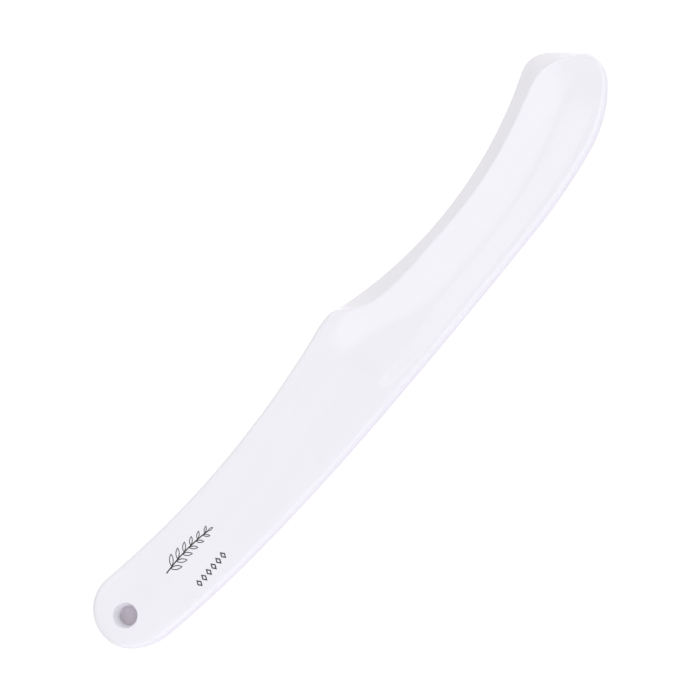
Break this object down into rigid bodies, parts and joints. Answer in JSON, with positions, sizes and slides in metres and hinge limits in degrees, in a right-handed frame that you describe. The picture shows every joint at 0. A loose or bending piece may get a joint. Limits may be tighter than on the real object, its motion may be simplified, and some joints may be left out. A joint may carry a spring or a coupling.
{
  "type": "cream spatula",
  "caption": "Flat one-piece plastic spatula with a hanging hole in its butt and a curved blade that has a bevelled scraping edge and a shallow dished face.",
  "frame": {"origin": "centre of the hanging hole on the flat back face", "axes": "+X along the bar to the blade's tip, +Y across it towards the bevelled scraping edge, +Z out of the front face, along the hole"},
  "size_m": [0.1803, 0.0284, 0.004],
  "materials": {
    "white_plastic": "glossy opaque white polypropylene with a faint cool cast, faint flow lines and a duller bevel",
    "print_ink": "near-black pad-print ink, slightly uneven"
  },
  "bodies": {
    "root": {"spatula_body": "white_plastic", "printed_sprig": "print_ink", "printed_lozenges": "print_ink"}
  },
  "joints": []
}
